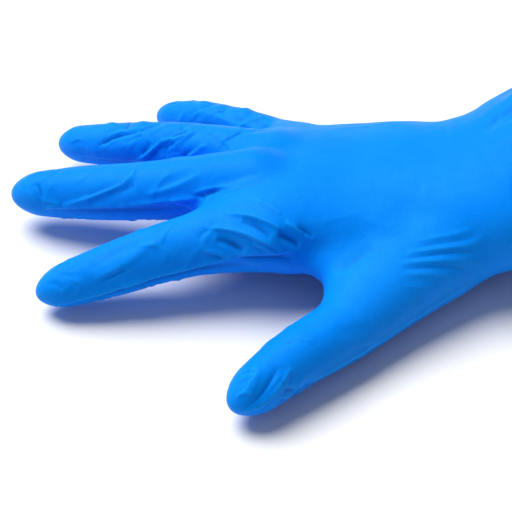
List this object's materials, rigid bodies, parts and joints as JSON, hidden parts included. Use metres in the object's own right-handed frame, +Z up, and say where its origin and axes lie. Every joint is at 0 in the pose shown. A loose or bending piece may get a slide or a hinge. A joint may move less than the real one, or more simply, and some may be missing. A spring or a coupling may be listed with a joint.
{
  "type": "disposable glove",
  "caption": "Thin blue nitrile glove for a right hand, in its worn shape, hollow and open at a cuff with a rolled bead; its fingers, thumb, knuckles and wrist fold.",
  "frame": {"origin": "centre of the bottom of the whole glove's bounding box, on the surface that the fingertips touch", "axes": "-X towards the fingertips, +X towards the cuff, -Y on the thumb's side, +Z up, out of the back of the hand"},
  "size_m": [0.2614, 0.1832, 0.0737],
  "materials": {
    "nitrile_film": "satin",
    "rolled_bead": "satin"
  },
  "bodies": {
    "palm": {"palm": "nitrile_film", "wrist_band": "nitrile_film", "knuckle_band": "nitrile_film", "thumb_root_band": "nitrile_film"},
    "cuff": {"cuff_sleeve": "nitrile_film", "cuff_bead": "rolled_bead"},
    "finger_row": {"finger_webs": "nitrile_film", "index_root_band": "nitrile_film", "middle_root_band": "nitrile_film", "ring_root_band": "nitrile_film", "little_root_band": "nitrile_film"},
    "index_proximal": {"index_proximal_tube": "nitrile_film", "index_pip_band": "nitrile_film"},
    "index_middle": {"index_middle_tube": "nitrile_film", "index_dip_band": "nitrile_film"},
    "index_tip": {"index_fingertip": "nitrile_film"},
    "middle_proximal": {"middle_proximal_tube": "nitrile_film", "middle_pip_band": "nitrile_film"},
    "middle_middle": {"middle_middle_tube": "nitrile_film", "middle_dip_band": "nitrile_film"},
    "middle_tip": {"middle_fingertip": "nitrile_film"},
    "ring_proximal": {"ring_proximal_tube": "nitrile_film", "ring_pip_band": "nitrile_film"},
    "ring_middle": {"ring_middle_tube": "nitrile_film", "ring_dip_band": "nitrile_film"},
    "ring_tip": {"ring_fingertip": "nitrile_film"},
    "little_proximal": {"little_proximal_tube": "nitrile_film", "little_pip_band": "nitrile_film"},
    "little_middle": {"little_middle_tube": "nitrile_film", "little_dip_band": "nitrile_film"},
    "little_tip": {"little_fingertip": "nitrile_film"},
    "thumb_base": {"thumb_base": "nitrile_film", "thumb_mcp_band": "nitrile_film"},
    "thumb_proximal": {"thumb_proximal_tube": "nitrile_film", "thumb_ip_band": "nitrile_film"},
    "thumb_end": {"thumb_tip": "nitrile_film"}
  },
  "joints": [
    {"name": "wrist_flex", "type": "hinge", "parent": "palm", "child": "cuff", "pos_m": [0.06265, 0.01627, 0.0279], "axis": [0, -1, 0], "range_deg": [-40, 40], "stiffness_Nm_per_rad": 0.03, "deforming": ["wrist_band"]},
    {"name": "knuckle_fold", "type": "hinge", "parent": "palm", "child": "finger_row", "pos_m": [-0.02735, 0.01477, 0.0219], "axis": [-0.2487, -0.9686, 0], "range_deg": [-15, 55], "stiffness_Nm_per_rad": 0.02, "deforming": ["knuckle_band"]},
    {"name": "index_spread", "type": "hinge", "parent": "finger_row", "child": "index_proximal", "pos_m": [-0.05391, -0.01489, 0.02278], "axis": [0, 0, 1], "range_deg": [-10, 6], "stiffness_Nm_per_rad": 0.006, "deforming": ["index_root_band"]},
    {"name": "index_pip", "type": "hinge", "parent": "index_proximal", "child": "index_middle", "pos_m": [-0.06978, -0.0187, 0.02034], "axis": [0.2334, -0.9724, 0], "range_deg": [0, 76], "stiffness_Nm_per_rad": 0.004, "deforming": ["index_pip_band"]},
    {"name": "index_dip", "type": "hinge", "parent": "index_middle", "child": "index_tip", "pos_m": [-0.09238, -0.02412, 0.01433], "axis": [0.2334, -0.9724, 0], "range_deg": [0, 46], "stiffness_Nm_per_rad": 0.0015, "deforming": ["index_dip_band"]},
    {"name": "middle_spread", "type": "hinge", "parent": "finger_row", "child": "middle_proximal", "pos_m": [-0.05658, 0.01532, 0.02627], "axis": [0, 0, 1], "range_deg": [-6, 6], "stiffness_Nm_per_rad": 0.006, "deforming": ["middle_root_band"]},
    {"name": "middle_pip", "type": "hinge", "parent": "middle_proximal", "child": "middle_middle", "pos_m": [-0.07741, 0.0175, 0.02144], "axis": [-0.1045, -0.9945, 0], "range_deg": [0, 76], "stiffness_Nm_per_rad": 0.004, "deforming": ["middle_pip_band"]},
    {"name": "middle_dip", "type": "hinge", "parent": "middle_middle", "child": "middle_tip", "pos_m": [-0.10545, 0.02045, 0.01723], "axis": [-0.1045, -0.9945, 0], "range_deg": [0, 46], "stiffness_Nm_per_rad": 0.0015, "deforming": ["middle_dip_band"]},
    {"name": "ring_spread", "type": "hinge", "parent": "finger_row", "child": "ring_proximal", "pos_m": [-0.04776, 0.03941, 0.02394], "axis": [0, 0, 1], "range_deg": [-5, 5], "stiffness_Nm_per_rad": 0.006, "deforming": ["ring_root_band"]},
    {"name": "ring_pip", "type": "hinge", "parent": "ring_proximal", "child": "ring_middle", "pos_m": [-0.06731, 0.0452, 0.0218], "axis": [-0.284, -0.9588, 0], "range_deg": [0, 76], "stiffness_Nm_per_rad": 0.004, "deforming": ["ring_pip_band"]},
    {"name": "ring_dip", "type": "hinge", "parent": "ring_middle", "child": "ring_tip", "pos_m": [-0.09263, 0.0527, 0.01619], "axis": [-0.284, -0.9588, 0], "range_deg": [0, 46], "stiffness_Nm_per_rad": 0.0015, "deforming": ["ring_dip_band"]},
    {"name": "little_spread", "type": "hinge", "parent": "finger_row", "child": "little_proximal", "pos_m": [-0.03069, 0.06078, 0.01543], "axis": [0, 0, 1], "range_deg": [-6, 8], "stiffness_Nm_per_rad": 0.006, "deforming": ["little_root_band"]},
    {"name": "little_pip", "type": "hinge", "parent": "little_proximal", "child": "little_middle", "pos_m": [-0.04267, 0.06799, 0.0147], "axis": [-0.515, -0.8572, 0], "range_deg": [0, 76], "stiffness_Nm_per_rad": 0.004, "deforming": ["little_pip_band"]},
    {"name": "little_dip", "type": "hinge", "parent": "little_middle", "child": "little_tip", "pos_m": [-0.05869, 0.07761, 0.01124], "axis": [-0.515, -0.8572, 0], "range_deg": [0, 46], "stiffness_Nm_per_rad": 0.0015, "deforming": ["little_dip_band"]},
    {"name": "thumb_fold", "type": "hinge", "parent": "palm", "child": "thumb_base", "pos_m": [0.01398, -0.03363, 0.0129], "axis": [0.9989, 0.0476, 0], "range_deg": [-8, 20], "stiffness_Nm_per_rad": 0.008, "deforming": ["thumb_root_band"]},
    {"name": "thumb_mcp", "type": "hinge", "parent": "thumb_base", "child": "thumb_proximal", "pos_m": [0.0031, -0.05096, 0.01333], "axis": [0.428, -0.4796, -0.766], "range_deg": [0, 20], "stiffness_Nm_per_rad": 0.004, "deforming": ["thumb_mcp_band"]},
    {"name": "thumb_ip", "type": "hinge", "parent": "thumb_proximal", "child": "thumb_end", "pos_m": [-0.0149, -0.06758, 0.01368], "axis": [0.5032, -0.4055, -0.7631], "range_deg": [-8, 45], "stiffness_Nm_per_rad": 0.0015, "deforming": ["thumb_ip_band"]}
  ],
  "couplings": [
    {"joint": "index_dip", "follows": "index_pip", "ratio": 0.6},
    {"joint": "middle_dip", "follows": "middle_pip", "ratio": 0.6},
    {"joint": "ring_dip", "follows": "ring_pip", "ratio": 0.6},
    {"joint": "little_dip", "follows": "little_pip", "ratio": 0.6}
  ]
}
